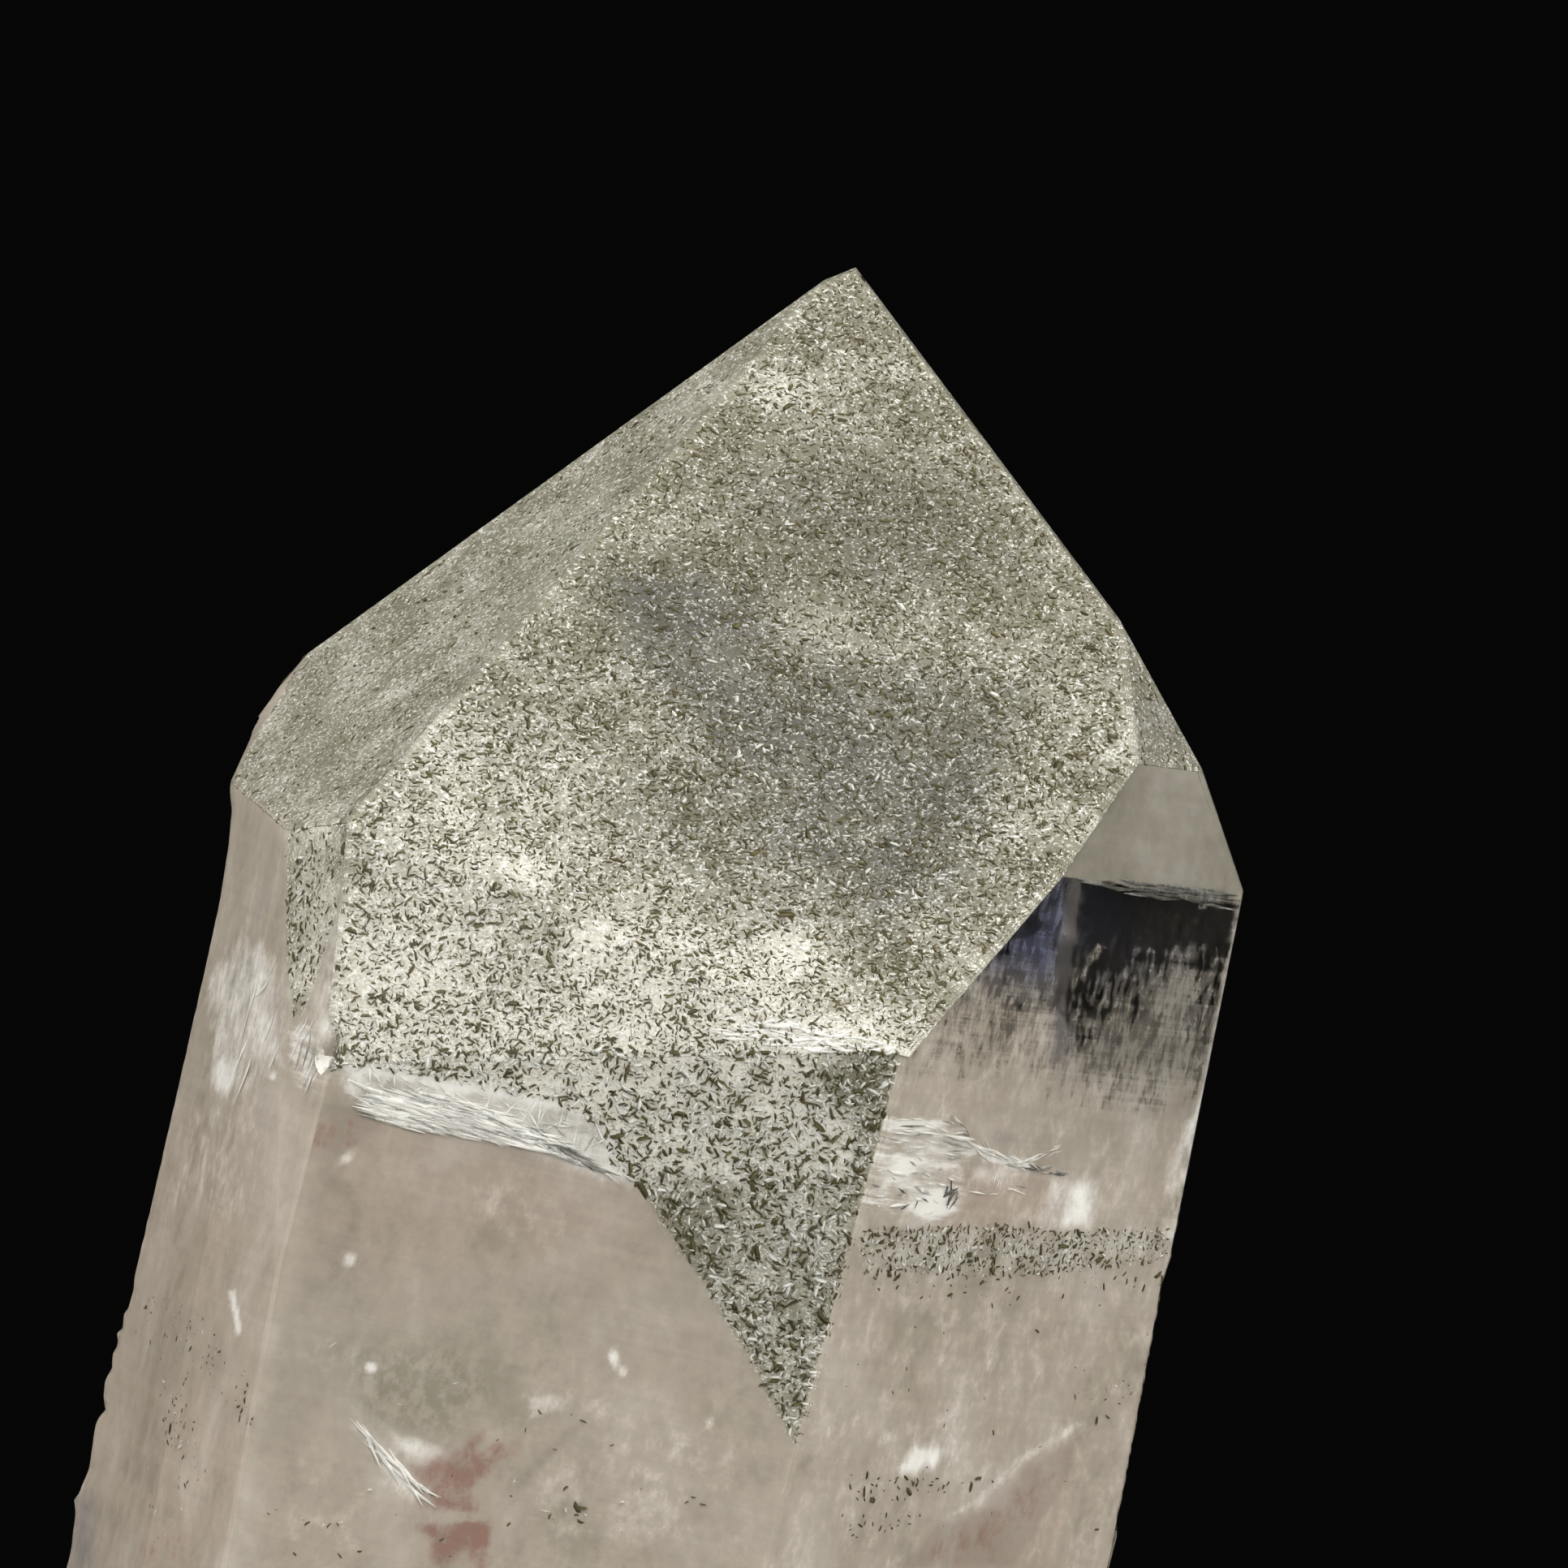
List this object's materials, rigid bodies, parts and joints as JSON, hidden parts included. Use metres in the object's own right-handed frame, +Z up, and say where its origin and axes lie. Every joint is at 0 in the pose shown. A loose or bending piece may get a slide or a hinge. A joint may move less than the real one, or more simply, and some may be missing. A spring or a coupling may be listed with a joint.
{
  "type": "chlorite quartz crystal",
  "caption": "Single quartz point with a wide sloping tip face, dusted inside with green chlorite, cut flat at the foot so that it stands upright.",
  "frame": {"origin": "where the crystal's long axis meets the flat cut foot that it stands on", "axes": "+Z runs up the crystal's long axis to its tip, -Y is the way its wide front slope looks, +X is to the right seen from the front"},
  "size_m": [0.025, 0.0214, 0.058],
  "materials": {
    "quartz": "clear to slightly hazy natural crystal with flat shiny faces",
    "chlorite": "dark olive mineral specks enclosed in the crystal",
    "fracture": "silvery white healed cracks and veils enclosed in the crystal",
    "iron_stain": "red-brown iron stain enclosed in the crystal"
  },
  "bodies": {
    "root": {"quartz_crystal": "quartz"}
  },
  "joints": []
}
